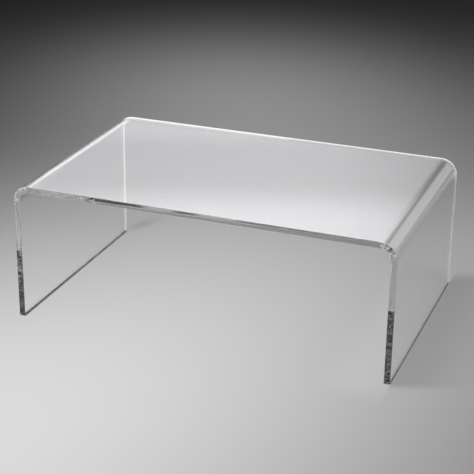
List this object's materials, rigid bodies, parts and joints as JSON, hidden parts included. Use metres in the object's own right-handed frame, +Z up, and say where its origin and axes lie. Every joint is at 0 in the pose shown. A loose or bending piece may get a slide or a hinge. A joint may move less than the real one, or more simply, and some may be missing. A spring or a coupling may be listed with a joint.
{
  "type": "waterfall coffee table",
  "caption": "Low clear acrylic table whose flat top bends down at both ends into panel legs. It holds drinks, books and trays in front of a sofa.",
  "frame": {"origin": "on the floor under the middle of the table", "axes": "+X along the table's length, +Y from the front edge to the back edge, +Z up"},
  "size_m": [1.118, 0.6996, 0.406],
  "materials": {
    "clear_acrylic": "polished",
    "clear_bumper": "satin"
  },
  "bodies": {
    "root": {"acrylic_sheet": "clear_acrylic", "foot_bumper_left_front": "clear_bumper", "foot_bumper_left_rear": "clear_bumper", "foot_bumper_right_front": "clear_bumper", "foot_bumper_right_rear": "clear_bumper"}
  },
  "joints": []
}
